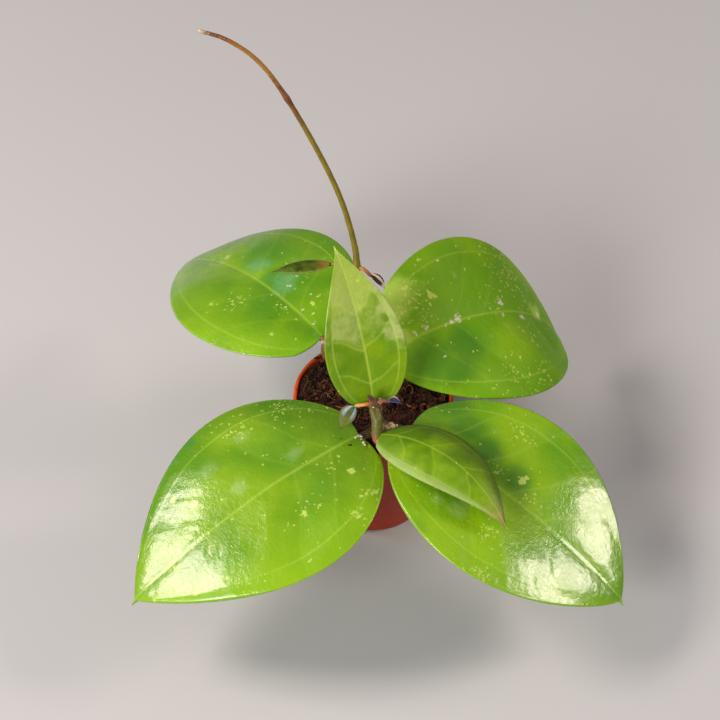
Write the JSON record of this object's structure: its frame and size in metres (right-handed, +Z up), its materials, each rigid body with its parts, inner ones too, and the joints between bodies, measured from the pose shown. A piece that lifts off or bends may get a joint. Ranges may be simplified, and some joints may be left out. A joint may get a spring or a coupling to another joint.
{
  "type": "potted hoya plant",
  "caption": "Small potted hoya: broad waxy leaves in pairs on short stems, with a bare climbing tendril, rooted in dark soil in a tapered round nursery pot.",
  "frame": {"origin": "centre of the pot's flat underside", "axes": "+Z up; -Y towards the plant's front, where the two largest leaves and the middle leaf point; +X to the right seen from the front"},
  "size_m": [0.1764, 0.1777, 0.186],
  "materials": {
    "pot": "satin moulded",
    "soil": "rough, damp peat",
    "stem": "satin, green to brown bark",
    "leaf_mature": "waxy gloss",
    "leaf_new": "waxy satin",
    "leaf_bud": "waxy gloss"
  },
  "bodies": {
    "root": {"pot": "pot", "soil": "soil", "stem_front": "stem", "stem_back": "stem", "leaf_front_left": "leaf_mature", "leaf_front_right": "leaf_mature", "leaf_back_left": "leaf_mature", "leaf_back_right": "leaf_mature", "leaf_centre": "leaf_new", "leaf_middle_right": "leaf_new", "leaf_young_left": "leaf_bud", "leaf_young_right": "leaf_bud", "leaf_vine_left": "leaf_bud", "leaf_vine_right": "leaf_bud"}
  },
  "joints": []
}
